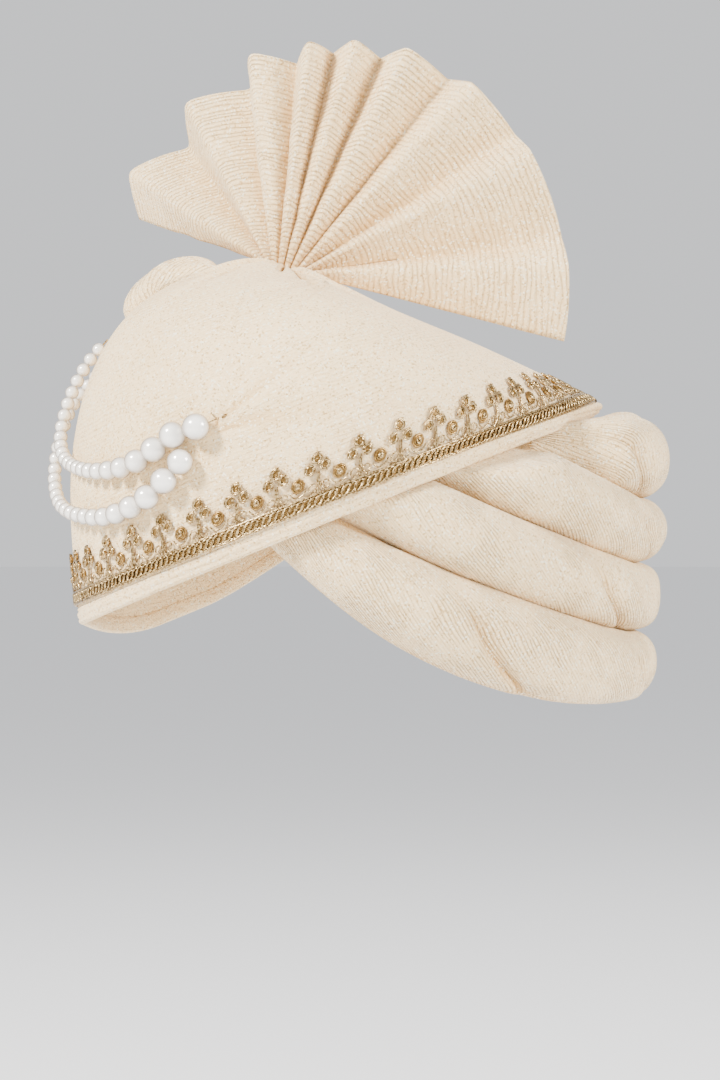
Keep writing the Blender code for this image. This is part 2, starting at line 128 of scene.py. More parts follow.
def noise(x, y):
    """Smooth noise from 0 to 1, one cell to a unit."""
    xi, yi = np.floor(x).astype(int), np.floor(y).astype(int)
    fx, fy = smooth(x - xi), smooth(y - yi)
    a = LATTICE[xi % 256, yi % 256]
    b = LATTICE[(xi + 1) % 256, yi % 256]
    c = LATTICE[xi % 256, (yi + 1) % 256]
    d = LATTICE[(xi + 1) % 256, (yi + 1) % 256]
    return blend(blend(a, b, fx), blend(c, d, fx), fy)


def unit(vectors):
    return vectors / np.maximum(np.linalg.norm(vectors, axis=-1, keepdims=True), 1e-12)


def squared(wave, power):
    """A sine or cosine whose round is squared off, by a power below 1."""
    return np.sign(wave) * np.abs(wave) ** power


def grid_normals(points, around):
    """Normals of a grid (rows up, columns along), whose columns close on themselves if around is true."""
    if around:
        sideways = np.roll(points, -1, 1) - np.roll(points, 1, 1)
    else:
        sideways = np.gradient(points, axis=1)
    return unit(np.cross(sideways, np.gradient(points, axis=0)))


def new_piece(name, points, faces, material, uv=None, folded=None):
    """A smooth mesh object that rides on the part.

    uv gives a place on the cloth for each corner, and folded how deep in a fold or between two parts each
    point lies, from 0 to 1, which the crepe paints as warm shade.
    """
    mesh = bpy.data.meshes.new(name)
    mesh.from_pydata(points.tolist(), [], faces.tolist() if hasattr(faces, "tolist") else faces)
    mesh.shade_smooth()
    if uv is not None:
        layer = mesh.uv_layers.new(name="cloth")
        layer.data.foreach_set("uv", uv.astype(np.float32).ravel())
    if folded is not None:
        mesh.attributes.new("folded", "FLOAT", "POINT").data.foreach_set("value", folded.ravel())
    mesh.materials.append(material)
    piece = bpy.data.objects.new(name, mesh)
    bpy.context.scene.collection.objects.link(piece)
    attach(piece, "root")
    return piece


def grid_piece(name, points, uv, material, around, flip=False, folded=None):
    """A piece from a grid of points, with cloth coordinates at each, in metres."""
    rows, columns = points.shape[:2]
    steps = columns if around else columns - 1
    row, column = np.meshgrid(np.arange(rows - 1), np.arange(steps), indexing="ij")
    following = column + 1
    corners = [(row, column), (row, following), (row + 1, following), (row + 1, column)]
    if flip:
        corners.reverse()
    wide = np.concatenate([uv, 2.0 * uv[:, -1:] - uv[:, -2:-1]], 1) if around else uv
    faces = np.stack([r * columns + c % columns for r, c in corners], -1).reshape(-1, 4)
    places = np.stack([wide[r, c] for r, c in corners], 2).reshape(-1, 2)
    return new_piece(name, points.reshape(-1, 3), faces, material, places, folded)


def add_wall(piece, wall, offset):
    solidify = piece.modifiers.new("wall", "SOLIDIFY")
    solidify.thickness = wall
    solidify.offset = offset


# The wrap's surface, as in the part, for arrays of angles and rises

def outline(angle):
    return np.stack([HALF_WIDTH * np.sin(angle), -HALF_LENGTH * np.cos(angle)], -1)


def along(place):
    return place[..., 0] * cos(RISE_AZIMUTH) + place[..., 1] * sin(RISE_AZIMUTH)


REACH = sqrt((HALF_WIDTH * cos(RISE_AZIMUTH)) ** 2 + (HALF_LENGTH * sin(RISE_AZIMUTH)) ** 2)


def hem_base(angle):
    edge = outline(angle)
    inward = smooth((along(edge) / REACH + 0.2) / 1.2)
    return edge * (1.0 - (1.0 - TIP_SHARE) * inward)[..., None]


def hem_z(place):
    return HEM_LOW_Z + HEM_SLOPE * (along(place) + REACH)


def hem_dip(angle):
    """How far the hem droops towards the wearer's right temple."""
    degrees_round = np.degrees((angle + pi) % (2.0 * pi) - pi)
    return HEM_DIP * smooth((-degrees_round - 34.0) / 42.0) * smooth((degrees_round + 128.0) / 40.0)


def top_z(place):
    beyond = TOP_SOFT * np.log(1.0 + np.exp((along(place) - TOP_FLAT) / TOP_SOFT))
    return TOP_Z + TOP_SLOPE * (TOP_FLAT + beyond)


def wrap_points(angle, rise):
    base = hem_base(angle)
    turn = rise * pi / 2.0
    inset = np.where(rise < 1.0, np.abs(np.cos(turn)) ** (2.0 / DOME_POWER), 0.0)
    lift = np.sin(turn) ** (2.0 / DOME_POWER)
    drawn = base * (1.0 - HEM_DRAW * np.maximum(0.0, 1.0 - lift * 1.6) ** 2)[..., None]
    place = drawn * inset[..., None] + FOOT * (1.0 - inset)[..., None]
    low = hem_z(base) - hem_dip(angle)
    ridge = RIDGE_HEIGHT * np.exp(-((angle - RIDGE_ANGLE) / 0.30) ** 2) * smooth(lift * 4.0 - 2.9)
    z = low + (top_z(place) - low) * lift + ridge * (1.0 - rise)
    return np.concatenate([place, z[..., None]], -1)


def wrap_normals(angle, rise):
    step = 0.004
    rise = np.clip(rise, step, 1.0 - 2.0 * step)
    sideways = wrap_points(angle + step, rise) - wrap_points(angle - step, rise)
    upward = wrap_points(angle, rise + step) - wrap_points(angle, rise - step)
    return unit(np.cross(sideways, upward))


TAPE_ANGLES = np.linspace(-pi, pi, 721)
TAPE_RISES = np.linspace(0.0, 0.995, 400)
TAPE_GRID = wrap_points(TAPE_ANGLES[:, None], TAPE_RISES[None, :] + 0.0 * TAPE_ANGLES[:, None])
TAPE_RUNS = np.concatenate([np.zeros((721, 1)),
                            np.cumsum(np.linalg.norm(np.diff(TAPE_GRID, axis=1), axis=2), 1)], 1)
HEM_RUNS = np.concatenate([[0.0], np.cumsum(np.linalg.norm(np.diff(TAPE_GRID[:, 20], axis=0), axis=1))])


def rise_at_distance(angle, distance):
    """The rise at which a tape laid up the wrap from the hem has run the distance."""
    angle, distance = np.broadcast_arrays((angle + pi) % (2.0 * pi) - pi, distance)
    out = np.empty(angle.size)
    rows = np.clip(np.rint((angle.ravel() + pi) / (2.0 * pi) * 720).astype(int), 0, 720)
    for i, (row, run) in enumerate(zip(rows, distance.ravel())):
        out[i] = np.interp(run, TAPE_RUNS[row], TAPE_RISES)
    return out.reshape(angle.shape)


def wrap_angle(away):
    """The angle at which the wrap rises to its top in each plan direction away from the fan's foot."""
    angles = np.linspace(-pi, pi, 2049)
    base = hem_base(angles) - FOOT
    turned = np.unwrap(np.arctan2(base[:, 0], -base[:, 1]))
    bearing = np.arctan2(away[..., 0], -away[..., 1])
    return np.interp((bearing - turned[0]) % (2.0 * pi) + turned[0], turned, angles)


def kept_inside(place, z):
    away = place - FOOT
    base = hem_base(wrap_angle(away))
    low = hem_z(base)
    room = np.maximum(0.001, top_z(place) - low)
    lift = np.clip((z + WRAP_WALL + TUCK_CLEAR - low) / room, 0.0, 0.97)
    inset = (1.0 - lift ** DOME_POWER) ** (1.0 / DOME_POWER)
    drawn = base * (1.0 - HEM_DRAW * np.maximum(0.0, 1.0 - lift * 1.6) ** 2)[..., None]
    reach = np.linalg.norm(drawn - FOOT, axis=-1) * inset - WRAP_WALL - TUCK_CLEAR
    reach = reach + TUCK_SWELL * smooth((low - TUCK_DROP - z) / TUCK_FADE)
    share = np.minimum(1.0, reach / np.linalg.norm(away, axis=-1))
    return FOOT + away * share[..., None]


# Materials

def nodes_of(name):
    material = bpy.data.materials.new(name)
    material.use_nodes = True
    tree = material.node_tree
    return material, tree, tree.nodes["Principled BSDF"]


def add(tree, kind, **values):
    """A node whose properties, or sockets named as in_NAME, are set."""
    node = tree.nodes.new("ShaderNode" + kind)
    for key, value in values.items():
        if key.startswith("in_"):
            node.inputs[key[3:].replace("_", " ")].default_value = value
        else:
            setattr(node, key, value)
    return node


def maths(tree, operation, a, b=None, c=None):
    node = tree.nodes.new("ShaderNodeMath")
    node.operation = operation
    for socket, value in zip(node.inputs, (a, b, c)):
        if value is None:
            continue
        if isinstance(value, (int, float)):
            socket.default_value = value
        else:
            tree.links.new(value, socket)
    return node.outputs[0]


def ramp(tree, value, low, high):
    """0 below low, 1 above high."""
    node = tree.nodes.new("ShaderNodeMapRange")
    node.interpolation_type = "SMOOTHSTEP"
    node.inputs["From Min"].default_value = low
    node.inputs["From Max"].default_value = high
    tree.links.new(value, node.inputs["Value"])
    return node.outputs["Result"]


def mixed(tree, share, a, b):
    node = tree.nodes.new("ShaderNodeMix")
    node.data_type = "RGBA"
    for socket, value in ((node.inputs[0], share), (node.inputs[6], a), (node.inputs[7], b)):
        if isinstance(value, tuple):
            socket.default_value = (*value, 1.0)
        elif isinstance(value, (int, float)):
            socket.default_value = value
        else:
            tree.links.new(value, socket)
    return node.outputs[2]


CREAM = (0.95, 0.685, 0.355)
# A darker cream: the cloth's own tone in the weave and grain, and painted shade in the rib grooves.
CREAM_DARK_AND_SHADE = (0.52, 0.30, 0.095)
CREAM_LIGHT = (1.0, 0.825, 0.52)
FOLD_SHADE = (0.60, 0.31, 0.065)
# Pale gold of the metal flecks in the weave, partly a painted glint.
GLITTER_AND_GLINT = (1.0, 0.93, 0.72)


def noise_factor(tree, vector, **values):
    """The factor of a noise texture over the given coordinates."""
    texture = add(tree, "TexNoise", **values)
    tree.links.new(vector, texture.inputs["Vector"])
    return texture.outputs["Fac"]


def scaled(tree, vector, scale):
    mapping = add(tree, "Mapping", in_Scale=scale)
    tree.links.new(vector, mapping.inputs["Vector"])
    return mapping.outputs["Vector"]


def times(tree, a, b):
    return maths(tree, "MULTIPLY", a, b)


def grain_values(tree, solid):
    """Two random values for each fine grain of the cloth."""
    cells = add(tree, "TexVoronoi", in_Scale=1400.0)
    tree.links.new(solid, cells.inputs["Vector"])
    parts = add(tree, "SeparateColor")
    tree.links.new(cells.outputs["Color"], parts.inputs["Color"])
    return parts.outputs[0], parts.outputs[1]


def rib_height(tree, place, pitch, wander):
    """Fine pressed ribs over the cloth's second coordinate: 0 in their narrow grooves, 1 on their crests."""
    bend = noise_factor(tree, scaled(tree, place, (0.35, 1.0, 1.0)), in_Scale=90.0, in_Detail=2.0)
    parts = add(tree, "SeparateXYZ")
    tree.links.new(place, parts.inputs["Vector"])
    shift = times(tree, bend, wander / pitch)
    phase = maths(tree, "ADD", times(tree, parts.outputs["Y"], 1.0 / pitch), shift)
    wave = maths(tree, "ABSOLUTE", maths(tree, "SINE", times(tree, phase, pi)))
    return maths(tree, "POWER", wave, 0.55)


def crepe_colour(tree, grit, layers):
    """Cream cloth in two tones, under layers that each have a cover, a share and a tint; some tints are the
    cloth's own darker tone, some painted shade.
    """
    colour = mixed(tree, times(tree, ramp(tree, grit, 0.35, 0.65), 0.55), CREAM, CREAM_LIGHT)
    for cover, share, tint in layers:
        colour = mixed(tree, times(tree, cover, share), colour, tint)
    return colour


def crepe_material(name, pitch, wander, rib_depth, rib_least, groove_shade_share):
    """Crinkled crepe: pressed ribs, a gritty weave with gold flecks whose pale colour is partly a painted
    glint, and painted warm shade in the rib grooves and the folds.
    """
    material, tree, shader = nodes_of(name)
    place = add(tree, "UVMap", uv_map="cloth").outputs["UV"]
    solid = add(tree, "TexCoord").outputs["Object"]
    # How deep each point lies in a fold or between two parts: it gets painted warm shade and stronger ribs.
    folded = add(tree, "Attribute", attribute_name="folded").outputs["Fac"]
    ribs = rib_height(tree, place, pitch, wander)
    patch = noise_factor(tree, solid, in_Scale=45.0, in_Detail=1.5)
    drawn = maths(tree, "ADD", ramp(tree, patch, 0.40, 0.68), folded)
    strength = maths(tree, "MINIMUM", maths(tree, "ADD", drawn, rib_least), 1.0)
    # Painted shade in the narrow grooves between the ribs, stronger in patches and in the folds.
    groove_shade = times(tree, maths(tree, "SUBTRACT", 1.0, ribs), strength)
    weave = noise_factor(tree, scaled(tree, place, (350.0, 1500.0, 1.0)),
                         in_Scale=1.0, in_Detail=2.0, in_Roughness=0.6, in_Distortion=0.4)
    grit = noise_factor(tree, solid, in_Scale=1000.0, in_Detail=2.0, in_Roughness=0.7)
    broad = noise_factor(tree, solid, in_Scale=16.0, in_Detail=3.0, in_Roughness=0.55)
    light_grain, dark_grain = grain_values(tree, solid)
    # Gold flecks in the weave: metal and a little smoother, their pale colour partly a painted glint.
    glitter_and_glint = ramp(tree, light_grain, 0.90, 0.93)
    # The weave, the broad patches and the dark grain are the cloth's own darker tone; the rib grooves and the
    # folds are painted shade.
    layers = [(ramp(tree, weave, 0.46, 0.34), 0.45, CREAM_DARK_AND_SHADE),
              (ramp(tree, broad, 0.45, 0.75), 0.12, CREAM_DARK_AND_SHADE),
              (groove_shade, groove_shade_share, CREAM_DARK_AND_SHADE), (folded, 0.85, FOLD_SHADE),
              (ramp(tree, dark_grain, 0.90, 0.94), 0.75, CREAM_DARK_AND_SHADE), (glitter_and_glint, 0.75, GLITTER_AND_GLINT)]
    tree.links.new(crepe_colour(tree, grit, layers), shader.inputs["Base Color"])
    tree.links.new(times(tree, glitter_and_glint, 0.15), shader.inputs["Metallic"])
    tree.links.new(maths(tree, "SUBTRACT", 0.78, times(tree, glitter_and_glint, 0.25)), shader.inputs["Roughness"])
    shader.inputs["Sheen Weight"].default_value = 0.2
    shader.inputs["Sheen Roughness"].default_value = 0.4
    relief = maths(tree, "ADD", times(tree, times(tree, ribs, strength), rib_depth * 1000.0),
                   times(tree, weave, 0.42))
    add_bump(tree, shader, maths(tree, "ADD", relief, times(tree, grit, 0.70)), 1.0, 0.001)
    return material


def add_bump(tree, shader, height, strength, distance):
    bump = add(tree, "Bump", in_Strength=strength, in_Distance=distance)
    tree.links.new(height, bump.inputs["Height"])
    tree.links.new(bump.outputs["Normal"], shader.inputs["Normal"])


def gold_material(name, dark, light, rough):
    """Gold thread or foil: twisted light and dark, worn in patches."""
    material, tree, shader = nodes_of(name)
    solid = add(tree, "TexCoord").outputs["Object"]
    twist = noise_factor(tree, solid, in_Scale=1300.0, in_Detail=2.0)
    wear = noise_factor(tree, solid, in_Scale=60.0, in_Detail=3.0)
    colour = mixed(tree, ramp(tree, twist, 0.35, 0.65), dark, light)
    tree.links.new(mixed(tree, times(tree, wear, 0.35), colour, dark), shader.inputs["Base Color"])
    tree.links.new(maths(tree, "ADD", rough, times(tree, wear, 0.2)), shader.inputs["Roughness"])
    shader.inputs["Metallic"].default_value = 0.85
    add_bump(tree, shader, twist, 0.5, 0.0001)
    return material


def pearl_material():
    """Nacre under a clear gloss, with painted warm shade and reflection darkening it towards the rim."""
    material, tree, shader = nodes_of("pearl_gloss")
    solid = add(tree, "TexCoord").outputs["Object"]
    cloud = noise_factor(tree, solid, in_Scale=160.0, in_Detail=2.0)
    rim = add(tree, "LayerWeight", in_Blend=0.42).outputs["Facing"]
    middle = mixed(tree, cloud, (0.97, 0.92, 0.84), (1.0, 0.97, 0.92))
    # Painted warm shade and reflection, darker towards the rim.
    colour = mixed(tree, ramp(tree, rim, 0.05, 0.80), middle, (0.24, 0.17, 0.11))
    tree.links.new(colour, shader.inputs["Base Color"])
    roughness = maths(tree, "MULTIPLY_ADD", cloud, 0.10, 0.16)
    tree.links.new(roughness, shader.inputs["Roughness"])
    shader.inputs["Metallic"].default_value = 0.1
    shader.inputs["Coat Weight"].default_value = 1.0
    shader.inputs["Coat Roughness"].default_value = 0.10
    return material


WRAP_CREPE = crepe_material("crepe_wrap", 0.0020, 0.004, 0.00016, 0.15, 0.40)
ROLL_CREPE = crepe_material("crepe_roll", RIB_PITCH, 0.005, 0.00070, 0.45, 0.85)
FAN_CREPE = crepe_material("crepe_fan", 0.0026, 0.006, 0.00060, 0.60, 0.80)
GOLD = gold_material("zari_gold", (0.13, 0.068, 0.016), (0.80, 0.58, 0.28), 0.18)
SEQUIN = gold_material("sequin_gold", (0.20, 0.11, 0.028), (0.50, 0.31, 0.105), 0.22)
PEARL = pearl_material()


# The wrap, with its hem

def puckered(points, normals, centre, lean, spread, lines, reach, depth):
    """Fine folds that run out from a pinched place, and how deep in them each point lies.

    They lean at the angle lean in the camera's plane, within the angle spread, and fade over the reach.
    """
    gap = points - centre
    far = np.linalg.norm(gap, axis=-1)
    turn = np.arctan2(gap[..., 2], along(gap))
    beside = (turn - lean + pi) % (2.0 * pi) - pi
    wave = np.cos(turn * lines + 3.0 * noise(turn * 3.0, 0.0 * far)) * np.exp(-(beside / spread) ** 2)
    wave = wave * np.exp(-far / reach) * smooth(far / 0.004)
    return points + normals * (depth * wave)[..., None], np.clip(-wave - 0.05, 0.0, 1.0)


def gathered(points, normals, rise):
    """The wrap draped and drawn up round the fan's foot, and how deep in a fold each point lies."""
    away = points[..., :2] - FOOT
    spread = np.linalg.norm(away, axis=-1)
    bearing = np.arctan2(away[..., 0], -away[..., 1])
    off_peak = np.hypot(away[..., 0] + 0.006, away[..., 1] + 0.007)
    points = points.copy()
    points[..., 2] += PEAK_RISE * np.exp(-(off_peak / 0.030) ** 2)
    near_foot = np.exp(-((spread - 0.012) / 0.030) ** 2) * smooth(spread / 0.010)
    pinch = (noise(bearing * 9.0 + 40.0, spread * 18.0) - 0.5) * 2.0
    drape = noise(bearing * 1.6 + 12.0, spread * 22.0 + 3.0) - 0.5
    points = points + normals * (FOOT_FOLD * pinch * near_foot)[..., None]
    points = points + normals * (DRAPE * drape * smooth(rise * 5.0) * smooth((1.0 - rise) * 4.0))[..., None]
    return points, np.clip(-1.6 * pinch, 0.0, 1.0) * near_foot


def pinch_point(points):
    """The point of the wrap where it is pinched beside the fan's foot."""
    level = np.array((cos(RISE_AZIMUTH), sin(RISE_AZIMUTH)))
    facing = np.array((sin(RISE_AZIMUTH), -cos(RISE_AZIMUTH)))
    spot = FOOT + level * PINCH_PLACE[0] + facing * PINCH_PLACE[1]
    apart = np.hypot(points[..., 0] - spot[0], points[..., 1] - spot[1])
    return points.reshape(-1, 3)[np.argmin(apart)]


def cloth_places(points):
    """Places on the cloth in metres: round it, as measured along one low row, and up from the hem."""
    around = np.linalg.norm(np.diff(points[20], axis=0), axis=1)
    upward = np.linalg.norm(np.diff(points, axis=0), axis=2)
    u = np.concatenate([[0.0], np.cumsum(around)])[None, :] + 0.0 * points[..., 0]
    v = np.concatenate([np.zeros((1, points.shape[1])), np.cumsum(upward, 0)], 0)
    return np.stack([u, v], -1)


def crown():
    """The front wrap and closed top, with the folds at the fan's foot and at the pearls."""
    columns, rows = 440, 96
    rises = 0.4985 * (1.0 - np.cos(np.linspace(0.0, pi, rows)))
    angle, rise = np.meshgrid(np.linspace(-pi, pi, columns, endpoint=False), rises)
    points = wrap_points(angle, rise)
    normals = grid_normals(points, True)
    points, foot_folds = gathered(points, normals, rise)
    knot = wrap_points(np.array(radians(KNOT_AT)), rise_at_height(KNOT_AT, KNOT_Z))
    points, knot_folds = puckered(points, normals, knot, 0.45, 0.55, 13.0, 0.024, 0.0022)
    points, pinch_folds = puckered(points, normals, pinch_point(points), -2.50, 0.70, 15.0, 0.030, 0.0026)
    # How deep each point lies in the folds at the fan's foot, the pearls' knot and the pinch, painted as warm
    # shade by the crepe.
    folded = np.clip(foot_folds + 1.6 * knot_folds + 2.0 * pinch_folds, 0.0, 1.0)
    piece = grid_piece("crown_cloth", points, cloth_places(points), WRAP_CREPE, True, folded=folded)
    add_wall(piece, WRAP_WALL, -1.0)
    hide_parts("crown_wrap")
    return piece


def rise_at_height(degrees_round, z):
    rises = np.linspace(0.0, 0.8, 800)
    angle = np.full(800, radians(degrees_round))
    return np.interp(z, wrap_points(angle, rises)[:, 2], rises)


def hem_band():
    """The turned-under hem: a soft folded band along the wrap's edge, with two lines of stitching."""
    columns, round_steps = 330, 32
    angle = np.linspace(-pi, pi, columns, endpoint=False)
    base, up_point = wrap_points(angle, 0.0 * angle), wrap_points(angle, 0.02 + 0.0 * angle)
    up = unit(up_point - base)
    out = wrap_normals(angle, 0.004 + 0.0 * angle)
    turn = np.linspace(0.0, 2.0 * pi, round_steps, endpoint=False)
    middle = base + up * 0.0030 - out * 0.0012
    thick = HEM_THICK + 0.0004 * (noise(angle * 14.0 + 60.0, angle * 0.0) - 0.5)
    sideways, upwards = squared(np.cos(turn), 0.7), squared(np.sin(turn), 0.9)
    grooves = np.exp(-((upwards - 0.40) / 0.12) ** 2) + np.exp(-((upwards + 0.35) / 0.12) ** 2)
    welt = 1.0 - 0.35 * grooves * (np.cos(turn) > 0.0)
    points = (middle[None] + out[None] * (thick[None] * (sideways * welt)[:, None])[..., None]
              + up[None] * (HEM_TALL * upwards)[:, None, None])
    run = np.concatenate([[0.0], np.cumsum(np.linalg.norm(np.diff(base, axis=0), axis=1))])
    closed = np.concatenate([points, points[:1]], 0)
    u = run[None, :] + 0.0 * closed[..., 0]
    v = np.linspace(0.0, 0.016, round_steps + 1)[:, None] + 0.0 * closed[..., 0]
    piece = grid_piece("hem_band", closed, np.stack([u, v], -1), WRAP_CREPE, True, True)
    weld = piece.modifiers.new("weld", "WELD")
    weld.merge_threshold = 0.00001
    return piece


# The rolls

def edge_z(edge, place):
    level, climb, bend = edge
    run = np.maximum(0.0, REACH * 0.95 - along(place)) / (REACH * 1.33)
    return ROLL_BASE_Z + ROLL_STACK * level + ROLL_CLIMB * climb * run ** bend


def roll_end(edge, side, tuck):
    """The angle at which a roll's lower edge has passed under the hem, on the left (1) or right (-1)."""
    for i in range(1, 400):
        angle = np.array(ROLL_TIP_ANGLE - side * radians(0.4) * i)
        if edge_z(edge, outline(angle)) > hem_z(hem_base(angle)) + tuck:
            return float(angle)
    return ROLL_TIP_ANGLE - side * radians(160)


def crease(run, depth):
    """The profile across a twist fold: a steep side and a long soft one."""
    return -depth * np.where(run < 0.0, np.exp(run / 0.0013), np.exp(-run / 0.010))


def roll_relief(number, run, turn, outer):
    """Height of the folds and swells on a roll, and how deep in a fold each point lies, for the painted shade
    in the folds.
    """
    relief, folded = np.zeros_like(run), np.zeros_like(run)
    for degrees_round, fold_depth in ROLL_FOLDS[number]:
        bend = (noise(turn * 1.3 + degrees_round, 0.0 * run) - 0.5) * 0.006
        fade = smooth((0.75 - np.sin(turn)) / 0.9) * outer
        apart = run - radians(degrees_round) * MEAN_RADIUS + bend
        relief += crease(apart, fold_depth * 1.25) * fade
        folded += (np.exp(-(apart / 0.0011) ** 2) + 0.25 * np.exp(-np.abs(apart - 0.002) / 0.006)) * fade
        for gap, share in ((0.0035, 0.40), (-0.0040, 0.30), (0.0075, 0.25)):
            beside = apart - gap * (1.0 + 0.9 * np.sin(turn))
            relief += crease(beside, fold_depth * share) * fade
            folded += share * np.exp(-(beside / 0.0009) ** 2) * fade
    relief += 0.0018 * (noise(run / 0.035 + number * 31.0, turn * 1.2 + 7.0) - 0.5) * outer
    return relief, folded


def roll_heights(number, angle, near_end):
    """The middle height and half the height of a roll at each angle."""
    rim, base = outline(angle), hem_base(angle)
    low = edge_z(ROLL_EDGES[4 - number], rim)
    if number == 1:
        roof = hem_z(blend(base, rim, TOP_ROLL_OUT)) - 0.001
    else:
        room = UNDER_WRAP_SHARE * np.maximum(0.0, top_z(base) - hem_z(base)) - WRAP_WALL
        roof = hem_z(base) + room
    high = np.minimum(edge_z(ROLL_EDGES[5 - number], rim), roof)
    half = (high - low) / 2.0 * blend(0.88, 1.0, smooth(near_end * 7.0)) * end_close(near_end) + 0.0004
    return (low + high) / 2.0, half


def end_close(near_end):
    """How far a roll is open at a share of its length from its nearer end."""
    return smooth(near_end * 60.0 + 0.25)


def roll_tube(number, angle, near_end, turn):
    """The smooth padded tube of a roll, and its normals: rows round it, columns along it."""
    rim = outline(angle)
    tucked = np.linalg.norm(hem_base(angle), axis=1) / np.linalg.norm(rim, axis=1) - TUCK_SHARE
    place = rim * blend(tucked, ROLL_REACH[number], smooth(near_end * 6.5))[:, None]
    inward = -unit(place / np.array((HALF_WIDTH ** 2, HALF_LENGTH ** 2)))
    middle, half = roll_heights(number, angle, near_end)
    depth = ROLL_DEPTH / 2.0 * blend(0.6, 1.0, smooth(near_end * 5.0)) * end_close(near_end)
    z = middle[None] + half[None] * squared(np.sin(turn), 0.94)
    inset = ROLL_DEPTH / 2.0 - depth[None] * squared(np.cos(turn), 0.90)
    spot = place[None] + inward[None] * inset[..., None]
    if number != 1:
        spot = kept_inside(spot, z)
    points = np.concatenate([spot, z[..., None]], -1)
    normals = grid_normals(points, False)
    outward = np.sum((points - points.mean(0)[None]) * normals, -1, keepdims=True)
    return points, normals * np.sign(outward)


def twisted_run(angle, turn):
    """The run along a roll at its middle line, leaned by the twist at each turn round it."""
    steep = 5.0 * np.sin(np.clip(turn, -pi / 2.0, pi / 2.0)) ** 2 * np.sign(turn)
    lean = FOLD_LEAN * (turn / (pi / 2.0)) + steep
    return radians(1.0) * MEAN_RADIUS * (np.degrees(angle)[None] + lean)


def roll(number):
    """One padded roll with its twist folds, its two ends passed under the wrap."""
    tuck = -TOP_ROLL_LEAST if number == 1 else ROLL_TUCK
    start, end = (roll_end(ROLL_EDGES[4 - number], side, tuck) for side in (1, -1))
    steps, round_steps = 560, 64
    share = np.linspace(0.0, 1.0, steps)
    near_end = np.minimum(share, 1.0 - share)
    angle = blend(start, end, share)
    turn = np.linspace(-pi, pi, round_steps, endpoint=False)[:, None]
    points, normals = roll_tube(number, angle, near_end, turn)
    run = twisted_run(angle, turn)
    outer = smooth((np.cos(turn) + 0.35) / 0.7)
    relief, folded = roll_relief(number, run, turn + 0.0 * run, outer)
    crowded = noise(run / 0.022 + 5.0, turn * 1.2 + number)
    pressed = np.abs(squared(np.cos(turn), 0.90)) * 0.6 + 0.4
    points = points + normals * (relief * pressed * smooth(near_end * 20.0)[None])[..., None]
    # Painted shade along the roll's upper and lower edges, where it meets the rolls beside it, patchy by the
    # noise above.
    edge = np.exp(-((np.pi / 2.0 - np.abs(turn)) / 0.22) ** 2) * (0.35 + 0.5 * crowded)
    folded = np.clip(folded + edge, 0.0, 1.0)
    around = ROLL_GIRTH * np.arange(round_steps + 1)[:, None] / round_steps + 0.0 * run[:1]
    uv = np.stack([around, np.concatenate([run, 2.0 * run[-1:] - run[-2:-1]], 0)], -1)
    closed = np.concatenate([points, points[:1]], 0)
    folded = np.concatenate([folded, folded[:1]], 0)
    piece = grid_piece(f"roll_cloth_{number}", closed, uv, ROLL_CREPE, False, True, folded)
    close_ends(piece)
    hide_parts(f"roll_{number}")
    return piece


def side_edges(degrees_round):
    """The side roll's lower edge, upper edge and thickness share at each angle, read between the rows."""
    table = np.array(SIDE_EDGES, float)
    rows = []
    for value in degrees_round:
        i = int(np.clip(np.searchsorted(-table[:, 0], -value) - 1, 0, len(table) - 2))
        share = smooth((table[i, 0] - value) / (table[i, 0] - table[i + 1, 0]))
        rows.append(blend(table[i], table[i + 1], share))
    return np.array(rows).T[1:]


def side_roll():
    """The padded roll laid on the right of the wrap."""
    steps, across = 260, 56
    degrees_round = np.linspace(SIDE_EDGES[0][0], SIDE_EDGES[-1][0], steps)
    angle = np.radians(degrees_round)
    low, high, thick = side_edges(degrees_round)
    low = np.maximum(low, rise_at_distance(angle, np.full(steps, LACE_START + LACE_HEIGHT + SIDE_OFF_LACE)))
    turn = np.linspace(0.0, pi, across)
    share = 0.5 - 0.5 * np.cos(turn)
    rise = blend(low[None], high[None], share[:, None])
    wide = angle[None] + 0.0 * rise
    ground, normals = wrap_points(wide, rise), wrap_normals(wide, rise)
    ends = smooth(np.minimum(np.arange(steps), np.arange(steps)[::-1]) / 14.0)
    crest = np.sin(turn)[:, None] ** 0.8
    height = SIDE_GAP + 0.0012 + (SIDE_THICK * thick * (0.25 + 0.75 * ends))[None] * crest
    run = degrees_round[None] * radians(1.0) * SIDE_RADIUS + share[:, None] * 0.022
    for place, fold_depth in SIDE_FOLDS:
        height = height + crease(-(run - place * radians(1.0) * SIDE_RADIUS - 0.011), fold_depth) * crest
    ribs = 0.00022 * np.sin(2.0 * pi * (run + 0.004 * noise(run / 0.02, share[:, None] * 3.0)) / RIB_PITCH)
    points = ground + normals * np.maximum(height + ribs * crest, SIDE_GAP + 0.0002)[..., None]
    below = (ground + normals * SIDE_GAP)[::-1]
    ring = np.concatenate([points, below, points[:1]], 0)
    u = np.linspace(0.0, 0.12, len(ring))[:, None] + 0.0 * ring[..., 0]
    v = np.concatenate([run, run[::-1], run[:1]], 0)
    piece = grid_piece("side_roll_cloth", ring, np.stack([u, v], -1), ROLL_CREPE, False)
    close_ends(piece)
    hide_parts("side_roll")
    return piece


def close_ends(piece):
    """Welds the seam of a tube made from a grid and fills its two ends."""
    work = bmesh.new()
    work.from_mesh(piece.data)
    bmesh.ops.remove_doubles(work, verts=work.verts, dist=0.00001)
    edges = [e for e in work.edges if e.is_boundary]
    bmesh.ops.holes_fill(work, edges=edges, sides=0)
    bmesh.ops.recalc_face_normals(work, faces=work.faces)
    work.to_mesh(piece.data)
    work.free()


# The fan

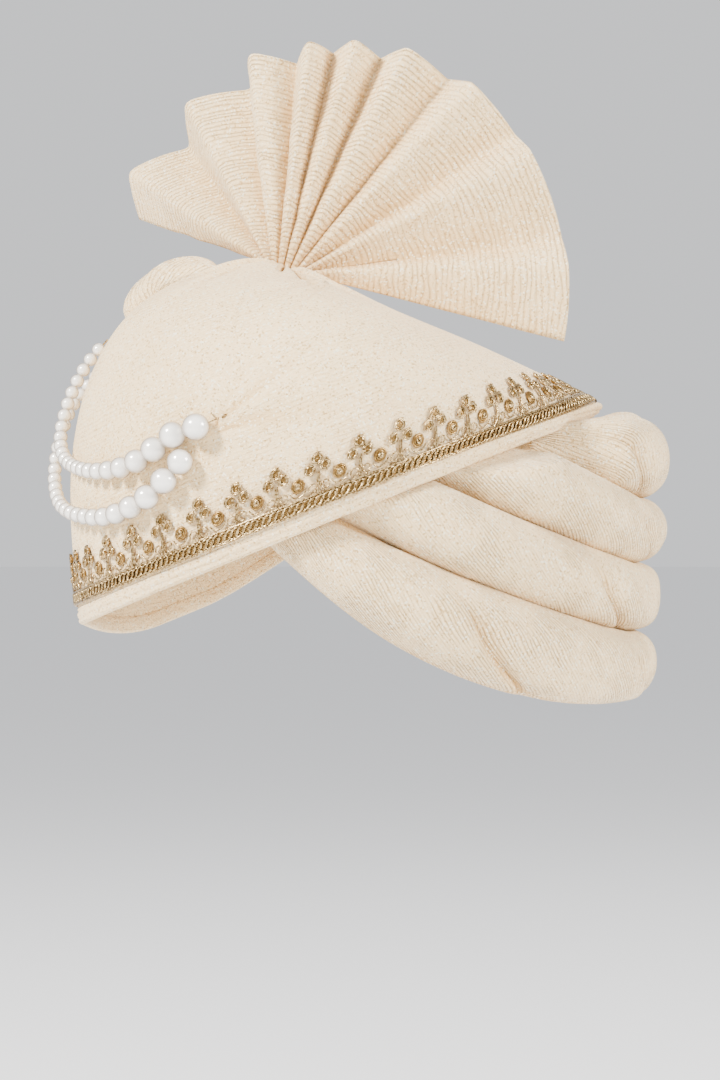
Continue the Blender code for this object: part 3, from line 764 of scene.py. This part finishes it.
def fan_foot():
    top = wrap_points(np.array(0.0), np.array(1.0))
    return top + np.array((0.0, 0.0, FAN_LIFT))


def fan_tips(angle, reach):
    """The point on the fan's outer arc, and the way its pleats face, for each spoke."""
    lean = smooth(np.cos(angle) * 1.5 + 0.5)
    azimuth = lean * RISE_AZIMUTH
    zero = 0.0 * azimuth
    level = np.stack([np.cos(azimuth), np.sin(azimuth), zero], -1)
    facing = np.stack([np.sin(azimuth), -np.cos(azimuth), zero], -1)
    radius = FAN_RADIUS * reach
    upward = np.stack([zero, zero, radius * np.sin(angle)], -1)
    return fan_foot() + level * (radius * np.cos(angle))[..., None] + upward, facing


def fan_roots(share):
    """Where each pleat is tied: a short sloping line on top of the wrap."""
    level = np.array((cos(RISE_AZIMUTH), sin(RISE_AZIMUTH), 0.0))
    across = blend(-0.0075, 0.0085, smooth(share))
    upward = np.array((0.0, 0.0, 1.0)) * blend(0.004, -0.001, share)[..., None]
    return fan_foot() + across[..., None] * level + upward


def fan():
    between, rings = 12, 120
    table = np.array(FAN_SPOKES, float)
    last = len(table) - 1
    order = np.arange(last * between + 1) / between
    spokes, reach, depth = (np.interp(order, np.arange(last + 1), table[:, i]) for i in range(3))
    kernel = np.array((0.1, 0.2, 0.4, 0.2, 0.1))
    depth = np.concatenate([depth[:2], np.convolve(depth, kernel, "valid"), depth[-2:]])
    reach = np.concatenate([reach[:2], np.convolve(reach, kernel, "valid"), reach[-2:]])
    ring = np.linspace(0.0, 1.0, rings)[:, None]
    tips, facing = fan_tips(np.radians(spokes), reach)
    roots = fan_roots(order / last)
    points = blend(roots[None], tips[None], ring[..., None])
    bow = 0.35 * (noise(order * 0.9 + 3.0, order * 0.0) - 0.5)[None] * np.sin(pi * ring)
    pleat = FAN_PLEAT * (depth[None] * blend(0.14, 1.0, ring) + bow * np.sin(pi * (order % 1.0))[None])
    points = points + facing[None] * pleat[..., None]
    normals = grid_normals(points, False)
    radius = ring * FAN_RADIUS + 0.0 * order[None]
    ripple = noise(order[None] * 2.0 + 0.0 * radius, radius / 0.012) - 0.5
    points = points + normals * (0.0008 * ripple * smooth(ring * 4.0))[..., None]
    across = np.cumsum(np.concatenate([[0.0], np.linalg.norm(np.diff(points[-1], axis=0), axis=1)]))
    # Painted shade in the pleats' valleys and near the foot, where the pleats crowd together.
    valley_shade = smooth(0.35 - 0.65 * depth)[None] * smooth(1.25 - ring)
    folded = np.clip(0.65 * valley_shade + 0.6 * np.exp(-ring / 0.12), 0.0, 1.0)
    uv = np.stack([across[None] + 0.0 * radius, radius], -1)
    piece = grid_piece("fan_cloth", points, uv, FAN_CREPE, False, False, folded)
    add_wall(piece, FAN_WALL, 0.0)
    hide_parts("turra_fan")
    return piece


def gather():
    """The pinched cloth at the fan's foot, ribbed by the pleats tied in it."""
    top = wrap_points(np.array(0.0), np.array(1.0))
    columns, rows = 96, 28
    turns = np.linspace(0.0, 2.0 * pi, columns, endpoint=False)
    turn, share = np.meshgrid(turns, np.linspace(0.0, 1.0, rows))
    waist = 1.0 + 0.55 * (1.0 - smooth(share * 2.2)) - 0.25 * smooth(share * 2.0 - 1.0)
    ridges = 1.0 + 0.07 * np.cos(turn * 14.0 + 0.8 * noise(turn * 2.0, share))
    lift_share = np.sin(share * pi / 2.0)
    closing = np.cos(np.clip(share * 1.15 - 0.15, 0.0, 1.0) * pi / 2.0) ** 0.45
    wide = 0.0066 * waist * ridges * np.maximum(closing, 0.02)
    level = np.array((cos(RISE_AZIMUTH / 2.0), sin(RISE_AZIMUTH / 2.0)))
    facing = np.array((level[1], -level[0]))
    aside, forward = (wide * np.cos(turn))[..., None], (wide * 0.9 * np.sin(turn))[..., None]
    place = top[:2] + level * aside - facing * forward
    low = top_z(place) - 0.0006
    z = low + (fan_foot()[2] + 0.0010 - low) * lift_share
    points = np.concatenate([place, z[..., None]], -1)
    uv = np.stack([turn * 0.008, share * 0.02], -1)
    piece = grid_piece("gather_cloth", points, uv, FAN_CREPE, True)
    close_ends(piece)
    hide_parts("fan_gather")
    return piece


# The lace

def lace_place(s, t, off):
    """The point and normal at a run s along the hem from the front, and t above the lace's foot."""
    run = (s + HEM_RUNS[360]) % HEM_RUNS[-1]
    angle = np.interp(run, HEM_RUNS, TAPE_ANGLES)
    rise = rise_at_distance(angle, LACE_START + t)
    normal = wrap_normals(angle, rise)
    return wrap_points(angle, rise) + normal * off[..., None], normal


class Wires:
    """Gathers fine tubes laid on the wrap into one mesh."""

    def __init__(self):
        self.points, self.faces, self.count = [], [], 0

    def add(self, s, t, radius, closed=False, off=0.0, sides=5):
        s, t = np.asarray(s, float), np.asarray(t, float)
        off = np.broadcast_to(LACE_OFF + radius + off, s.shape)
        middle, normal = lace_place(s, t, off)
        if closed:
            tangent = unit(np.roll(middle, -1, 0) - np.roll(middle, 1, 0))
        else:
            tangent = unit(np.gradient(middle, axis=0))
        across = unit(np.cross(tangent, normal))
        turn = np.linspace(0.0, 2.0 * pi, sides, endpoint=False)
        ring = (across[:, None] * np.cos(turn)[None, :, None] + normal[:, None] * np.sin(turn)[None, :, None])
        points = middle[:, None] + ring * radius
        count = len(s)
        row = np.arange(count if closed else count - 1)
        for j in range(sides):
            k = (j + 1) % sides
            following = (row + 1) % count
            self.faces.append(np.stack([row * sides + j, row * sides + k,
                                        following * sides + k, following * sides + j], -1) + self.count)
        self.points.append(points.reshape(-1, 3))
        self.count += count * sides

    def finish(self, name, material):
        return new_piece(name, np.concatenate(self.points), np.concatenate(self.faces), material)


def arc(cs, ct, radius, start, end, count, squash=1.0):
    turn = np.radians(np.linspace(start, end, count))
    return cs + radius * np.cos(turn), ct + radius * squash * np.sin(turn)


def coil(wires, cs, ct, radius, lift=0.00025):
    """A spiral of gold cord, wound twice."""
    turn = np.linspace(0.0, 4.0 * pi, 26)
    size = radius * (1.0 - 0.52 * turn / (4.0 * pi))
    wires.add(cs + size * np.cos(turn + 1.0), ct + size * np.sin(turn + 1.0), WIRE, off=lift)


def motif(wires, discs, s, pitch, sway):
    """One trefoil on its stem, with the scrolls that spring from it."""
    for off, up, radius in ((0.0, 0.0203, 0.0019), (-0.0031, 0.0163, 0.0018), (0.0031, 0.0163, 0.0018)):
        sequin(discs, s + off + sway, up, radius)
    coil(wires, s + sway, 0.0203 + sway, 0.0026)
    coil(wires, s - 0.0032 + sway, 0.0162, 0.0025)
    coil(wires, s + 0.0032 + sway, 0.0162 - sway, 0.0025)
    stem = np.linspace(0.0062, 0.0148, 7)
    for side in (-1.0, 1.0):
        wires.add(s + side * 0.00042 + sway * (stem / 0.0148), stem, WIRE)
        cs, ct = arc(s + side * pitch / 4.0, 0.0135, pitch / 4.0, 270 - side * 88, 270 + side * 20, 10, 1.7)
        wires.add(cs, ct - 0.0004, WIRE * 1.1)
        cs, ct = arc(s + side * 0.0026, 0.0086, 0.0017, 0, 345, 10)
        wires.add(cs, ct, WIRE, off=0.0001)


def between_motifs(wires, discs, s):
    """The sequin between two trefoils, with the coil that holds it and the small loops beside it."""
    sequin(discs, s, 0.0116, 0.0030)
    coil(wires, s, 0.0116, 0.0011, 0.0006)
    cs, ct = arc(s, 0.0116, 0.0038, 205, 335, 11, 1.2)
    wires.add(cs, ct, WIRE)


def braid(wires, first, last):
    """The row of leaning loops between two cords."""
    pitch = 0.0028
    for i in range(int((last - first) / pitch)):
        middle = first + (i + 0.5) * pitch
        turn = np.linspace(0.0, 2.0 * pi, 9)
        leaning = 0.0018 * np.cos(turn) + 0.0009 * np.sin(turn)
        over = 0.0001 + 0.0002 * (i % 2)
        wires.add(middle + leaning, 0.0031 + 0.0021 * np.sin(turn), WIRE * 1.15, off=over)
    steps = int((last - first) / 0.0035)
    line = np.linspace(first, last, steps)
    for level in (0.0006, 0.0058):
        wires.add(line, level + 0.00012 * np.sin(line * 900.0), WIRE * 1.25)


def lace():
    """The zari lace: trefoils of coiled cord on stems, scrolls with sequins, and a looped braid below."""
    wires, discs = Wires(), Wires()
    gap_run = np.interp(ROLL_TIP_ANGLE, TAPE_ANGLES, HEM_RUNS) - HEM_RUNS[360]
    spare = 0.004
    first, last = gap_run - HEM_RUNS[-1] + spare, gap_run - spare
    count = int((last - first) / LACE_PITCH)
    pitch = (last - first) / count
    for i in range(count):
        s = first + (i + 0.5) * pitch
        motif(wires, discs, s, pitch, 0.0009 * (RANDOM.random() - 0.5))
        if i < count - 1:
            between_motifs(wires, discs, s + pitch / 2.0)
    braid(wires, first, last)
    line = np.linspace(first, last, count * 6)
    for level in (0.0014, 0.0022, 0.0031, 0.0040, 0.0049):
        discs.add(line, level + 0.0 * line, 0.00052, off=-0.0008)
    gold = wires.finish("lace_cords", GOLD)
    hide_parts("lace_trim")
    shine = discs.finish("lace_sequins", SEQUIN)
    return gold


def sequin(discs, s, t, radius):
    """A small dished disc, as stacked rings that close to a point."""
    for share, lift in ((1.0, 0.0), (0.66, 0.00012), (0.33, 0.00018)):
        cs, ct = arc(s, t, radius * share * 0.84, 0, 324, 10)
        discs.add(cs, ct, radius * 0.175, closed=True, off=lift - radius * 0.175, sides=4)


# The pearls

def route_anchors(route):
    count = len(route) - 1
    anchors = []
    for i, (degrees_round, z, off) in enumerate(route):
        angle = np.array(radians(degrees_round))
        rise = np.array(rise_at_height(degrees_round, z))
        size = pearl_size(i / count)
        clear = size / 2.0 + PEARL_CLEAR + off
        anchors.append(wrap_points(angle, rise) + wrap_normals(angle, rise) * clear)
    return np.array(anchors)


def curve_through(points, count):
    """A Catmull-Rom curve through the points, read at count places."""
    spans = len(points) - 1
    wide = np.concatenate([2.0 * points[:1] - points[1:2], points, 2.0 * points[-1:] - points[-2:-1]])
    place = np.linspace(0.0, spans - 1e-9, count)
    index = place.astype(int)
    t = (place - index)[:, None]
    p0, p1, p2, p3 = wide[index], wide[index + 1], wide[index + 2], wide[index + 3]
    return 0.5 * (2.0 * p1 + (p2 - p0) * t + (2.0 * p0 - 5.0 * p1 + 4.0 * p2 - p3) * t ** 2
                  + (3.0 * p1 - p0 - 3.0 * p2 + p3) * t ** 3)


def pearl_size(share):
    return float(blend(PEARL_LARGE, PEARL_SMALL, smooth(share / PEARL_SPREAD) * 0.9 + share * 0.1))


def ball(middle, size, axis, columns=22, rows=14):
    """Points and faces of a round pearl whose poles lie on the axis, each closed by a small flat cap."""
    axis = unit(axis)
    side = unit(np.cross(axis, (0.3, 0.2, 0.9)))
    other = np.cross(axis, side)
    turn = np.linspace(0.0, 2.0 * pi, columns, endpoint=False)
    tilt = np.linspace(0.12, pi - 0.12, rows)
    ring = side[None] * np.cos(turn)[:, None] + other[None] * np.sin(turn)[:, None]
    points = (axis[None, None] * np.cos(tilt)[:, None, None] + ring[None] * np.sin(tilt)[:, None, None])
    points = middle + points.reshape(-1, 3) * size / 2.0
    faces = []
    for r in range(rows - 1):
        for c in range(columns):
            n = (c + 1) % columns
            faces.append((r * columns + c, (r + 1) * columns + c, (r + 1) * columns + n, r * columns + n))
    faces.append(tuple(range(columns)))
    faces.append(tuple(reversed(range((rows - 1) * columns, rows * columns))))
    return points, faces


def pearl_string(name, node, route, first_size, lead):
    fine = curve_through(route_anchors(route), 900)
    runs = np.concatenate([[0.0], np.cumsum(np.linalg.norm(np.diff(fine, axis=0), axis=1))])
    points, faces, count = [], [], 0
    run, size, length = lead, first_size, runs[-1]
    while run + size < length:
        middle = np.array([np.interp(run + size / 2.0, runs, fine[:, i]) for i in range(3)])
        ahead = np.array([np.interp(run + size / 2.0 + 0.001, runs, fine[:, i]) for i in range(3)])
        some, quads = ball(middle, size * 0.992, ahead - middle)
        points.append(some)
        faces += [tuple(v + count for v in face) for face in quads]
        count += len(some)
        run += size
        size = pearl_size(max(0.0, run) / length)
    piece = new_piece(name, np.concatenate(points), faces, PEARL)
    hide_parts(node)
    thread = bpy.data.curves.new(name + "_thread", "CURVE")
    thread.dimensions = "3D"
    thread.bevel_depth = 0.0004
    thread.bevel_resolution = 1
    spline = thread.splines.new("POLY")
    spline.points.add(len(fine[::6]) - 1)
    for point, place in zip(spline.points, fine[::6]):
        point.co = (*place, 1.0)
    thread.materials.append(GOLD)
    cord = bpy.data.objects.new(name + "_thread", thread)
    bpy.context.scene.collection.objects.link(cord)
    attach(cord, "root")
    return piece


def thread_knot():
    """A few gold stitches that hold the pearls' near end to the cloth."""
    angle = np.array(radians(24.6))
    rise = np.array(rise_at_height(24.6, 0.0775))
    start, normal = wrap_points(angle, rise), wrap_normals(angle, rise)
    level = np.array((cos(RISE_AZIMUTH), sin(RISE_AZIMUTH), 0.0))
    upward = np.cross(normal, level)
    upward = upward * np.sign(upward[2])
    data = bpy.data.curves.new("thread_knot", "CURVE")
    data.dimensions = "3D"
    data.bevel_depth = 0.00028
    data.bevel_resolution = 1
    for lean, reach in ((-150, 0.0075), (8, 0.0058), (24, 0.0070), (130, 0.0035)):
        way = level * cos(radians(lean)) + upward * sin(radians(lean))
        spline = data.splines.new("POLY")
        spline.points.add(5)
        for i, point in enumerate(spline.points):
            share = i / 5.0
            lift = 0.0010 * sin(pi * share) + 0.0003
            point.co = (*(start + way * reach * share + normal * lift), 1.0)
    data.materials.append(GOLD)
    piece = bpy.data.objects.new("thread_knot", data)
    bpy.context.scene.collection.objects.link(piece)
    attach(piece, "root")


# Camera, floor and light

def add_camera():
    data = bpy.data.cameras.new("camera")
    data.lens = LENS
    data.sensor_width = 36.0
    data.clip_start = 0.05
    camera = bpy.data.objects.new("camera", data)
    bpy.context.scene.collection.objects.link(camera)
    right = Vector((cos(RISE_AZIMUTH), sin(RISE_AZIMUTH), 0.0))
    back = Vector((sin(RISE_AZIMUTH), -cos(RISE_AZIMUTH), 0.0))
    camera.location = back * CAMERA_DISTANCE + right * CAMERA_SIDE + Vector((0.0, 0.0, CAMERA_Z))
    camera.rotation_euler = (pi / 2.0, 0.0, RISE_AZIMUTH)
    bpy.context.scene.camera = camera


def add_light(name, azimuth, height, distance, size, power, colour):
    """An area light that faces the turban, azimuth degrees to the right of the camera's side."""
    data = bpy.data.lights.new(name, "AREA")
    data.shape = "DISK"
    data.size = size
    data.energy = power
    data.color = colour
    lamp = bpy.data.objects.new(name, data)
    bpy.context.scene.collection.objects.link(lamp)
    turn = RISE_AZIMUTH + radians(azimuth)
    lamp.location = (sin(turn) * distance, -cos(turn) * distance, height)
    aim = Vector((0.0, 0.0, 0.06)) - lamp.location
    lamp.rotation_euler = aim.to_track_quat("-Z", "Y").to_euler()


def add_studio():
    material, tree, shader = nodes_of("pale_floor")
    shader.inputs["Base Color"].default_value = (0.90, 0.90, 0.91, 1.0)
    shader.inputs["Roughness"].default_value = 0.9
    mesh = bpy.data.meshes.new("floor")
    turn = np.linspace(0.0, 2.0 * pi, 64, endpoint=False)
    points = np.stack([40.0 * np.cos(turn), 40.0 * np.sin(turn), np.full(64, FLOOR_Z)], -1)
    mesh.from_pydata(points.tolist(), [], [tuple(range(64))])
    mesh.materials.append(material)
    floor = bpy.data.objects.new("floor", mesh)
    bpy.context.scene.collection.objects.link(floor)
    world = bpy.data.worlds.new("studio")
    world.use_nodes = True
    world.node_tree.nodes["Background"].inputs["Color"].default_value = (0.88, 0.89, 0.91, 1.0)
    world.node_tree.nodes["Background"].inputs["Strength"].default_value = 1.02
    bpy.context.scene.world = world
    add_light("key", -50, 1.05, 1.5, 0.40, 94.0, (1.0, 0.98, 0.94))
    add_light("fill", 58, 0.70, 1.7, 0.6, 58.0, (1.0, 0.98, 0.94))
    add_light("top", 170, 1.4, 1.3, 1.0, 10.0, (1.0, 1.0, 1.0))


add_camera()
add_studio()
crown_piece = crown()
hem_piece = hem_band()
for roll_number in (1, 2, 3, 4):
    roll(roll_number)
side_roll()
fan_piece = fan()
gather()
lace()
pearl_string("pearls_upper", "pearl_strand_upper", UPPER_ROUTE, PEARL_LARGE, -PEARL_LARGE / 2.0)
pearl_string("pearls_lower", "pearl_strand_lower", LOWER_ROUTE, PEARL_LARGE * 0.95, 0.0)
thread_knot()
